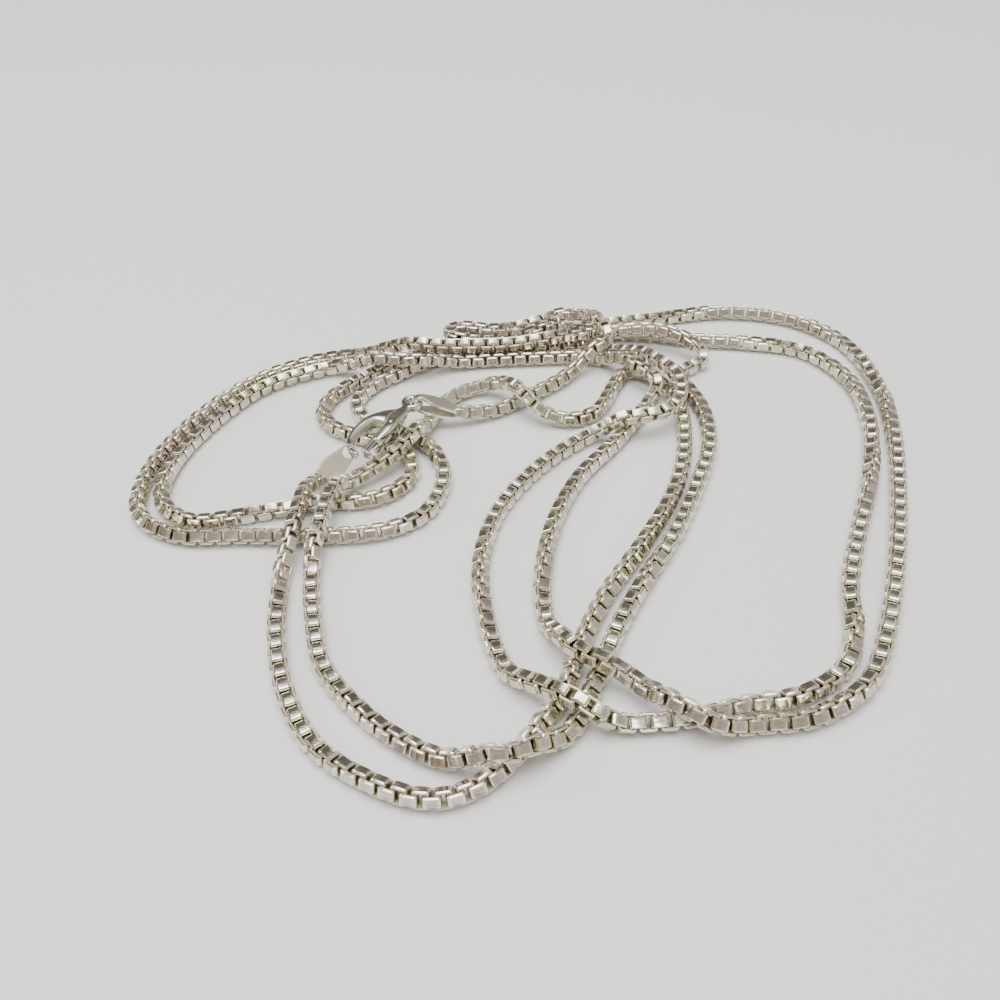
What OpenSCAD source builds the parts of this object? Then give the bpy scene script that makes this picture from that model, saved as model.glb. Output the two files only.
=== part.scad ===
// Box chain necklace with a lobster clasp, lying loose on a flat surface.
// Lengths are in millimetres, angles in degrees.

/* [Chain] */
// Length of the necklace as it lies
lay_l = 73.6; // [68:0.2:80]
// Width of the square chain, across its flats
chain_w = 1.4; // [1:0.05:1.45]
// Air between two strands where one lies across the other
strand_gap = 0.2; // [0.1:0.05:0.4]
// Gap between each end of the chain and the tag that holds it
chain_end_gap = 0.2; // [0.1:0.05:0.4]

/* [Clasp] */
// Length of the clasp, from its eye to the tip of its hook
clasp_l = 10.8; // [9:0.1:12]
// Thickness of the clasp's body where the lever is hinged
clasp_t = 2.2; // [1.8:0.1:2.6]
// Thickness of the clasp at its eye and at the tip of its hook
clasp_thin = 0.8; // [0.6:0.1:1]
// Height of the clasp over the strands that it lies across
clasp_rest = 0.5; // [0.3:0.1:1]
// Outer diameter of the eye
eye_d = 2.2; // [2:0.1:2.6]
// Hole in the eye
eye_hole_d = 1.1; // [0.9:0.05:1.3]
// Diameter of the round cheeks at the lever's hinge
cheek_d = 1.5; // [1.4:0.1:1.7]
// Direction of the clasp's length on the surface
clasp_turn = -123; // [-130:1:-116]

/* [Lever] */
// Thickness of the lever
lever_t = 0.9; // [0.7:0.1:1.1]
// Width of the lever at its hinge
lever_w = 1.4; // [1.2:0.1:1.5]
// Width of the lever at its free end
lever_end_w = 0.6; // [0.5:0.1:0.8]
// How far the thumb tab stands out from the lever
tab_h = 1; // [0.6:0.1:1.2]
// Length of the thumb tab along the lever
tab_l = 1.3; // [0.8:0.1:1.4]
// Bare length of the lever past the thumb tab
tab_end = 0.3; // [0.2:0.1:0.5]
// Diameter of the hinge pin
pin_d = 0.5; // [0.4:0.05:0.6]
// Clearance round the hinge pin, on the diameter
pin_clear = 0.06; // [0.03:0.01:0.1]
// Clearance beside the lever in its slot, on each side
slot_clear = 0.08; // [0.05:0.01:0.15]
// Gap between the lever's end and the hook's tip
mouth_gap = 0.3; // [0.2:0.05:0.5]

/* [Hook tag] */
// Thickness of the sheet that both tags are made of
sheet_t = 0.3; // [0.2:0.05:0.35]
// Width of the leaf that hangs on the hook
leaf_w = 2.6; // [2.3:0.1:3]
// Hole that the hook passes through
leaf_hole_d = 1.8; // [1.7:0.1:1.9]
// Rim of metal between the hole and the tip of the leaf
leaf_rim = 0.2; // [0.15:0.05:0.3]
// Width of the leaf where it is folded round the end of the chain
leaf_fold_w = 1.6; // [1.2:0.1:2]
// Inner radius of the fold
leaf_fold_r = 0.3; // [0.2:0.05:0.4]
// Length of the flap behind the leaf
flap_l = 2; // [1:0.1:2.4]
// Angle that the flap stands open by
flap_open = 8; // [4:1:14]
// Roll of the leaf about its length
leaf_roll = -50; // [-54:1:-46]

/* [Eye tag] */
// Width of the strip that is folded through the eye
strip_w = 1.5; // [1.2:0.1:1.8]
// Width of the strip inside the eye
strip_waist_w = 0.7; // [0.5:0.05:0.8]
// Inner radius of the strip's bend round the eye
strip_bend_r = 0.6; // [0.55:0.01:0.65]
// Inner radius of the strip's bend at the end of the chain
strip_end_r = 0.25; // [0.2:0.05:0.35]

/* [Hidden] */
$fn = 48;

// Route of the chain from the hook tag to the eye tag, chosen by hand.
// Each row is [x, y, layer]: layer 0 lies on the surface, and 1 lies on another strand.
ROUTE = [
    // Outer lower loop, from the hook tag
    [-19.4, 3.2, 0.45], [-20.2, 0.8, 1], [-20.6, -3.4, 1], [-21, -5.8, 0.55], [-21.4, -8.4, 0],
    [-21, -14.4, 0], [-19.6, -20.4, 0], [-16.8, -25.6, 0], [-12.4, -29, 0], [-8.8, -30.4, 0],
    [-6, -30, 0], [-3.4, -28.2, 0],
    // Up inside the two ovals
    [-1, -25.2, 0], [1.2, -22.2, 0], [2.4, -18.8, 0], [5.2, -13, 0], [9.2, -7, 0], [12.6, -1.2, 0],
    [14.6, 4, 0], [15.6, 9, 0], [15.8, 13, 0], [15, 16, 0], [14, 18.2, 0], [12.6, 19.4, 0],
    // Past the eye tag
    [11, 19, 0], [9.8, 17, 0], [7.8, 13, 0], [5.8, 11.6, 0], [3.8, 11.6, 0.05], [1.8, 12.2, 0.6],
    [0.4, 13.8, 1], [-0.8, 15.8, 1], [-2.6, 17.6, 0.45], [-5, 17.8, 0], [-7.4, 16.2, 0],
    // Beside the clasp and over the left lobes
    [-8.8, 13.8, 0], [-9.5, 11.4, 0.3], [-10.1, 9.6, 0.95], [-11.1, 7.8, 1], [-12.7, 5.7, 0.75],
    [-16.2, 3.4, 0.3], [-17.4, 1.6, 0.9], [-18, -0.6, 1], [-18.4, -3.8, 1], [-18.8, -6, 0.55],
    // Inner lower loop
    [-18.8, -8.4, 0], [-18.2, -13.2, 0], [-16.8, -18.6, 0], [-13.2, -23.4, 0], [-9.6, -26.4, 0],
    [-7.2, -27.6, 0.2], [-5, -28.2, 0.9], [-2.8, -28.2, 1], [-1.2, -27.4, 0.75], [0.4, -26.4, 0.1],
    [1.8, -25, 0],
    // Up inside the two ovals again
    [3.4, -21.8, 0], [5.4, -17.2, 0], [8.4, -11.8, 0], [12.4, -5.4, 0], [15.4, 0.8, 0],
    [17.4, 6, 0], [18, 11, 0], [17.4, 15, 0],
    // Bight at the right and back along the bundle
    [16.6, 17.4, 0], [17, 18.8, 0], [18.2, 19.6, 0], [19.4, 20.4, 0.1], [19.6, 21.6, 0.35],
    [18.4, 22.8, 0.8], [16.8, 24, 1], [15.2, 24.9, 1], [13.2, 25.6, 0.85], [11, 25.6, 0.75],
    [8.4, 25.1, 0.95], [5.4, 24.7, 1.05], [2.8, 24.2, 1], [-0.4, 24, 0.85], [-5, 23.9, 0.95],
    [-8.4, 24.3, 0.95],
    // Outer left lobe
    [-11.2, 25, 1], [-13.6, 25.6, 0.55], [-16.4, 26, 0], [-22.8, 24.8, 0], [-28.8, 21, 0],
    [-33.4, 14.6, 0], [-36, 7.2, 0], [-35.6, 1, 0], [-31.4, -2.4, 0], [-25.4, -3, 0],
    // Its return and round under the clasp
    [-18.8, -3.6, 0], [-13.2, -3.4, 0], [-9.4, -1.2, 0], [-7.8, 3.6, 0], [-9.2, 8.4, 0],
    [-12.6, 11.2, 0], [-15.6, 13.4, 0], [-16.8, 16.6, 0],
    // Along the bundle
    [-15.2, 19.6, 0], [-12.8, 21.4, 0], [-10.6, 23, 0], [-8.4, 24.2, 0], [-3, 24.8, 0],
    [4, 24.5, 0], [8, 24.4, 0], [10.4, 23.6, 0],
    // Raised bight, then into the left oval
    [11.8, 22.4, 0.35], [13.2, 20.6, 0.9], [14.6, 18.6, 1], [15.8, 16.4, 1], [16, 14, 1],
    [15.4, 11.6, 1], [14, 10, 1], [12.6, 9.4, 1], [11, 9.2, 1], [9.4, 9, 1], [7.6, 8.8, 0.4],
    [5.6, 8.2, 0],
    // Left side of the left oval
    [1.2, 4.4, 0], [-2.8, -1.4, 0], [-4.6, -8, 0], [-4.3, -15, 0], [-3, -19.8, 0.1],
    [-1, -22, 0.75], [0.6, -23.2, 1], [2.2, -24.4, 1], [3.6, -25.2, 0.6], [5.4, -25.3, 0],
    // Right side of that oval
    [9.4, -25.2, 0], [14.4, -24.2, 0], [18, -23.8, 0], [21.8, -21.6, 0], [23.8, -17.8, 0],
    [25.2, -12.4, 0], [28, -6, 0], [31.2, 1, 0], [33.4, 8.4, 0], [33.6, 15.4, 0], [30.4, 21.4, 0],
    [24.4, 23.8, 0],
    // Back along the bundle
    [19.8, 24.8, 0], [15.8, 26.4, 0], [12.4, 27.2, 0], [8.4, 27, 0], [5, 26, 0], [2, 26.4, 0],
    [-3, 26.4, 0], [-8.4, 26, 0], [-11.6, 24.6, 0], [-14.6, 22.6, 0],
    // Small lobe under the clasp
    [-18.6, 19, 0], [-20.2, 15.6, 0], [-18.8, 12.4, 0], [-15, 10, 0], [-12, 8.2, 0],
    [-10.8, 5.8, 0], [-11.4, 3, 0], [-14.4, 1, 0],
    // Inner left lobe
    [-20, 0.8, 0], [-26, -0.2, 0], [-30.6, -0.6, 0], [-33.9, 2.8, 0], [-33.8, 8.4, 0],
    [-31.2, 14.8, 0], [-27, 20.4, 0], [-21.2, 23.2, 0], [-17.6, 23, 0.4],
    // Front of the bundle
    [-15.2, 22.4, 1], [-12.6, 21.8, 1], [-10.4, 21.8, 0.95], [-8.4, 22.5, 0.55], [-5.8, 23, 0.1],
    [-2.4, 23.2, 0], [4, 23, 0], [7.2, 22.8, 0], [9, 22, 0.05], [10.2, 20.8, 0.6],
    // Turn beside the raised bight
    [11.2, 19.4, 1], [12.4, 17.8, 1], [13.4, 16.8, 0.95], [14, 15.4, 0.75], [13.4, 14.2, 0.35],
    [12.6, 13.2, 0], [11.2, 11, 0], [8.6, 7.2, 0], [4.6, 2.2, 0],
    // Left side of the right oval
    [1.8, -4, 0], [0.4, -10.6, 0], [0.4, -15.2, 0.1], [1.2, -17.6, 0.8], [2.4, -19.4, 1],
    [4, -20.6, 1], [5.6, -21.6, 0.7], [7, -23, 0.6], [8.2, -24.4, 0.95], [9.6, -25.6, 1],
    // Right side of that oval
    [11.4, -26.4, 0.6], [14, -26, 0], [18.8, -25.6, 0], [23.4, -22.8, 0], [26.4, -17.8, 0],
    [29.4, -11, 0], [32.2, -3.4, 0], [34.8, 5.2, 0], [36.2, 13.8, 0], [35.2, 22.4, 0],
    [30.8, 28, 0], [24, 30.4, 0],
    // Behind the bundle
    [16.8, 29.9, 0], [11.6, 29.4, 0], [8, 28.8, 0], [6.2, 28.3, 0.15], [4.8, 27.3, 0.65],
    [3.2, 26.4, 1], [0.6, 25.7, 0.85], [-2.4, 25.6, 0.85], [-4.2, 25.5, 0.9], [-5.4, 25.5, 0.95],
    // Hairpin and the top row
    [-6.9, 26, 1], [-7.1, 27.2, 0.95], [-6, 28, 0.9], [-4.4, 27.7, 0.85], [-2.2, 27.2, 0.85],
    [0.6, 27.4, 0.9], [3, 28.1, 1], [5.2, 28.8, 1.15], [6.9, 28.2, 1.25], [8.1, 26.8, 1.65],
    [8.9, 25.3, 2], [9.8, 23.8, 1.4],
    // Down to the eye tag
    [9.4, 22.6, 1.25], [8, 21.6, 1], [6.2, 20.4, 0.25], [4.4, 18.6, 0], [1.8, 16.6, 0],
    [-1.8, 14.2, 0], [-4.2, 13.3, 0.15], [-6.2, 12.8, 0.45]];
// Row at which the chain is divided into its two halves
HALFWAY = 120;

// Heights: a strand on the surface, and one layer of strands
lie_z = chain_w / 2;
layer_h = chain_w + strand_gap;

// Plan of the rows, spread to the length that the necklace lies in
plan_x = [for (row = ROUTE) row[0]];
plan_y = [for (row = ROUTE) row[1]];
spread = (lay_l - chain_w) / (max(plan_x) - min(plan_x));

// The middle of the footprint, which becomes the origin
middle = [max(plan_x) + min(plan_x), max(plan_y) + min(plan_y), 0] * spread / 2;

// Centre line of the chain, in the part's frame
centre_line = [for (row = ROUTE) [row[0] * spread, row[1] * spread, lie_z + layer_h * row[2]] - middle];

// The tube stands for the chain: its flats are as far apart as the chain is wide
TUBE_SIDES = 8;
tube_r = chain_w / 2 / cos(180 / TUBE_SIDES);

// Steps of a smooth curve from one row of its table to the next, and of a folded sheet in degrees
CURVE_STEPS = 4;
FOLD_STEP = 15;

function unit(v) = v / norm(v);
function heading(v) = atan2(v[1], v[0]);
function dip(v) = atan2(-v[2], norm([v[0], v[1]]));

// Direction of a line of points at point i
function along(points, i) =
    unit(points[min(i + 1, len(points) - 1)] - points[max(i - 1, 0)]);

// Corners of the tube's section at centre c, square to direction t
function ring(c, t) =
    let (side = unit(cross(t, [0, 0, 1])), up = cross(side, t))
    [for (k = [0 : TUBE_SIDES - 1])
        let (a = 360 * (k + 0.5) / TUBE_SIDES)
        c + tube_r * (cos(a) * side + sin(a) * up)];

// Tube through the centre line's rows first to last
module tube(first, last) {
    rings = last - first + 1;
    corners = [for (i = [first : last]) each ring(centre_line[i], along(centre_line, i))];
    wall = [for (i = [0 : rings - 2]) for (k = [0 : TUBE_SIDES - 1])
        let (a = i * TUBE_SIDES + k, b = i * TUBE_SIDES + (k + 1) % TUBE_SIDES)
        each [[a, b + TUBE_SIDES, a + TUBE_SIDES], [a, b, b + TUBE_SIDES]]];
    start = [for (k = [TUBE_SIDES - 1 : -1 : 0]) k];
    end = [for (k = [0 : TUBE_SIDES - 1]) (rings - 1) * TUBE_SIDES + k];
    polyhedron(corners, concat([start], wall, [end]));
}

// Smooth curve through rows of numbers
function between(a, b, c, d, t) =
    0.5 * (2 * b + (c - a) * t + (2 * a - 5 * b + 4 * c - d) * t * t + (3 * b - a - 3 * c + d) * t * t * t);
function smooth(rows) =
    let (n = len(rows) - 1)
    concat([for (i = [0 : n - 1]) for (k = [0 : CURVE_STEPS - 1])
        between(rows[max(i - 1, 0)], rows[i], rows[i + 1], rows[min(i + 2, n)], k / CURVE_STEPS)], [rows[n]]);

// Outline of a band whose rows are [x, y, half width]
function band_edge(rows, side) =
    [for (i = [0 : len(rows) - 1])
        let (t = along([for (row = rows) [row[0], row[1]]], i))
        [rows[i][0], rows[i][1]] + side * rows[i][2] * [-t[1], t[0]]];
function reversed(list) = [for (i = [len(list) - 1 : -1 : 0]) list[i]];
function band(rows) = concat(band_edge(rows, 1), reversed(band_edge(rows, -1)));

// The clasp's own frame: origin in the eye, x towards the hook, lever on the +y side
reach = clasp_l - eye_d / 2;
clasp_z = chain_w + clasp_rest + clasp_t / 2;
// Place of the eye in the route's plan
EYE_AT = [-10.8, 12.7];
clasp_at = [EYE_AT[0] * spread, EYE_AT[1] * spread, clasp_z];

// Neck, body and hook as shares of the clasp's reach: [along, across, half width]
HOOK = [[0.08, 0, 0.062], [0.21, -0.01, 0.08], [0.32, -0.07, 0.13], [0.42, -0.185, 0.08],
    [0.56, -0.225, 0.065], [0.7, -0.21, 0.055], [0.83, -0.165, 0.045], [0.92, -0.09, 0.04],
    [0.958, -0.015, 0.036], [0.945, 0.045, 0.034], [0.905, 0.085, 0.032]];
hook_rows = reach * smooth(HOOK);
// Root that carries the hinge, in the same shares
ROOT = [[0.18, 0, 0.07], [0.34, 0.02, 0.09], [0.46, 0.075, 0.068]];
root_rows = reach * smooth(ROOT);
// Side view as shares of the reach and of the extra thickness of the body: [along, thickness]
BULGE = [[-0.13, 0], [0.12, 0], [0.3, 0.8], [0.45, 1], [0.6, 0.85], [0.78, 0.1], [0.86, 0], [1.1, 0]];
bulge_rows = [for (row = smooth(BULGE))
    [row[0] * reach, 0, (clasp_thin + min(1, max(0, row[1])) * (clasp_t - clasp_thin)) / 2]];
hinge = [root_rows[len(root_rows) - 1][0], root_rows[len(root_rows) - 1][1]];
hook_tip = hook_rows[len(hook_rows) - 1];
lever_l = hook_tip[0] - hook_tip[2] - mouth_gap - hinge[0];
// Outer side of the thumb tab, as shares of its length
TAB = [0.4, 0.9];
// Where the leaf hangs on the hook, as shares of the clasp's reach
HANG_AT = [0.943, -0.09];

// Places of the clasp's points in the part's frame
function turned(p, a) = [p[0] * cos(a) - p[1] * sin(a), p[0] * sin(a) + p[1] * cos(a), 0];
function on_clasp(p) = clasp_at - middle + turned(p, clasp_turn);
module clasp_frame() {
    translate(clasp_at - middle) rotate([0, 0, clasp_turn]) children();
}

// Both tags run from the clasp to the end of the chain
leaf_from = on_clasp(reach * HANG_AT);
leaf_run = centre_line[0] - leaf_from;
leaf_l = norm(leaf_run) - chain_end_gap - leaf_fold_r - sheet_t;
chain_end = centre_line[len(centre_line) - 1];
eye_wire_r = (eye_d + eye_hole_d) / 4;
strip_dir = unit([chain_end[0] - on_clasp([0, 0])[0], chain_end[1] - on_clasp([0, 0])[1], 0]);
strip_from = on_clasp([0, 0]) + eye_wire_r * strip_dir;
strip_run = chain_end - strip_from;
strip_l = norm(strip_run) - chain_end_gap - strip_end_r - sheet_t;

// Plan of the leaf: [along, half width], along as shares of its tip, then of its length
leaf_tip = leaf_hole_d / 2 + leaf_rim;
LEAF_TIP = [[-1, 0.06], [-0.8, 0.3], [0, 0.47]];
LEAF = [[0.3, 0.5], [0.7, 0.42]];
leaf_end = leaf_l + leaf_fold_r + sheet_t;
leaf_rows = smooth(concat(
    [for (row = LEAF_TIP) [row[0] * leaf_tip, 0, row[1] * leaf_w]],
    [for (row = LEAF) [row[0] * leaf_l, 0, row[1] * leaf_w]],
    [for (x = [leaf_l, leaf_end]) [x, 0, leaf_fold_w / 2]]));

// Plan of the strip: [along, half width] as shares of its length and width, after a waist inside the eye
STRIP = [[0.35, 0.5], [0.7, 0.5], [1, 0.45]];
strip_start = -strip_bend_r - sheet_t;
strip_end = strip_l + strip_end_r + sheet_t;
strip_rows = smooth(concat(
    [for (x = [strip_start, strip_start + strip_waist_w]) [x, 0, strip_waist_w / 2]],
    [for (row = STRIP) [row[0] * strip_l, 0, row[1] * strip_w]],
    [[strip_end, 0, STRIP[2][1] * strip_w]]));

// Frame with its x axis along v and its y axis level, rolled about x
module along_frame(from, v, roll = 0) {
    translate(from) rotate([0, 0, heading(v)]) rotate([0, dip(v), 0]) rotate([roll, 0, 0]) children();
}

module chain_hook_side() {
    color("silver") tube(0, HALFWAY);
}

module chain_eye_side() {
    color("silver") tube(HALFWAY, len(ROUTE) - 1);
}

// The clasp's plan at its full thickness, without its holes
module clasp_blank() {
    for (rows = [hook_rows, root_rows])
        translate([0, 0, -clasp_t / 2]) linear_extrude(clasp_t) polygon(band(rows));
    cylinder(h = clasp_t, d = eye_d, center = true);
    translate(hinge) cylinder(h = clasp_t, d = cheek_d, center = true);
}

// Extrudes a side view, drawn in x and height, across the clasp's width
module sideways(width) {
    translate([0, width / 2, 0]) rotate([90, 0, 0]) linear_extrude(width) children();
}

module clasp_body() {
    color("gainsboro") clasp_frame() difference() {
        intersection() {
            clasp_blank();
            sideways(clasp_l) polygon(concat(
                [for (row = bulge_rows) [row[0], row[2]]],
                reversed([for (row = bulge_rows) [row[0], -row[2]]])));
        }
        cylinder(h = clasp_t, d = eye_hole_d, center = true);
        lever_slot();
        translate(hinge) cylinder(h = clasp_t * 2, d = pin_d, center = true);
    }
}

// Room for the lever's root and for its swing
module lever_slot() {
    slot_h = lever_t + 2 * slot_clear;
    translate([hinge[0], hinge[1], -slot_h / 2]) {
        cylinder(h = slot_h, d = lever_w + 2 * slot_clear);
        translate([0, -cheek_d, 0]) cube([cheek_d, 2 * cheek_d, slot_h]);
    }
}

module hinge_pin() {
    color("silver") clasp_frame() translate(hinge) cylinder(h = clasp_t, d = pin_d, center = true);
}

// Plan outline of the lever, with the hinge at the origin
module lever_plan() {
    inner = -lever_w / 2;
    outer = inner + lever_end_w;
    tab_from = lever_l - tab_l - tab_end;
    circle(d = lever_w);
    polygon([[0, inner], [lever_l, inner], [lever_l, outer], [0, lever_w / 2]]);
    polygon([[tab_from, inner], [tab_from + tab_l, inner], [tab_from + tab_l * TAB[1], outer + tab_h],
        [tab_from + tab_l * TAB[0], outer + tab_h]]);
}

module lever() {
    color("gainsboro") clasp_frame() translate(hinge) difference() {
        translate([0, 0, -lever_t / 2]) linear_extrude(lever_t) lever_plan();
        cylinder(h = lever_t * 2, d = pin_d + pin_clear, center = true);
    }
}

// Side view of the leaf: flat, then folded round the end of the chain and back as a flap
module leaf_side() {
    r = leaf_fold_r + sheet_t / 2;
    turn = 180 - flap_open;
    fold = [for (a = [FOLD_STEP : FOLD_STEP : turn - 1]) [leaf_l + r * sin(a), r * cos(a) - r]];
    flap_at = [leaf_l + r * sin(turn), r * cos(turn) - r];
    flap_to = flap_at + flap_l * [cos(turn), -sin(turn)];
    line = concat([[-leaf_tip, 0], [leaf_l, 0]], fold, [flap_at, flap_to]);
    polygon(band([for (p = line) [p[0], p[1], sheet_t / 2]]));
}

module hook_tag() {
    color("lightgray") along_frame(leaf_from, leaf_run, leaf_roll) difference() {
        intersection() {
            sideways(leaf_w * 2) leaf_side();
            translate([0, 0, -leaf_w]) linear_extrude(leaf_w * 2) polygon(band(leaf_rows));
        }
        cylinder(h = sheet_t * 2, d = leaf_hole_d, center = true);
    }
}

// Points of an arc about the origin
function arc(r, from, to) =
    let (steps = ceil((to - from) / FOLD_STEP))
    [for (k = [0 : steps]) let (t = from + (to - from) * k / steps) r * [cos(t), sin(t)]];
// Closed loop round two circles: radius r at the origin and s at distance d along x
function loop_outline(r, s, d) =
    let (a = acos((r - s) / d))
    concat(arc(r, a, 360 - a), [for (p = arc(s, -a, a)) p + [d, 0]]);

module eye_tag() {
    color("lightgray") along_frame(strip_from, strip_run) intersection() {
        sideways(strip_w * 2) difference() {
            polygon(loop_outline(strip_bend_r + sheet_t, strip_end_r + sheet_t, strip_l));
            polygon(loop_outline(strip_bend_r, strip_end_r, strip_l));
        }
        translate([0, 0, -strip_w]) linear_extrude(strip_w * 2) polygon(band(strip_rows));
    }
}

chain_hook_side();
chain_eye_side();
clasp_body();
hinge_pin();
lever();
hook_tag();
eye_tag();
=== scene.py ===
"""Visible pieces of a box chain necklace with a lobster clasp, on the loaded frame."""
import math

import bmesh
import bpy
from mathutils import Matrix, Vector


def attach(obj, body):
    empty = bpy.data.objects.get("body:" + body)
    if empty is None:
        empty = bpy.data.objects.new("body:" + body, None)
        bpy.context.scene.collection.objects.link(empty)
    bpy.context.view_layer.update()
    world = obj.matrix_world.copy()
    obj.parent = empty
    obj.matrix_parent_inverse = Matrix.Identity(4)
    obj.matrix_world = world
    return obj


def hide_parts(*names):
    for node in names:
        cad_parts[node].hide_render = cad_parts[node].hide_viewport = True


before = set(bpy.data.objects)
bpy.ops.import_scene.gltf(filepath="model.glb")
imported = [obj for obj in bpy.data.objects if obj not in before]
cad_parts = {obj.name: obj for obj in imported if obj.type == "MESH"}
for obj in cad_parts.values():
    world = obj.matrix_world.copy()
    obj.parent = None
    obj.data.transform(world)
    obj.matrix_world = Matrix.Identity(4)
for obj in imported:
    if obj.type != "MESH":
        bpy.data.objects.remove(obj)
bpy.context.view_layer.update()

bl_info = {
    "name": "Box Chain Necklace",
    "version": (1, 0, 0),
    "blender": (4, 5, 0),
    "location": "3D View > Sidebar > Necklace",
    "description": "Links, clasp and tags of a silver box chain necklace",
    "category": "Object",
}

MM = 0.001
NECKLACE = "necklace"
LEVER = "lever"

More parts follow.
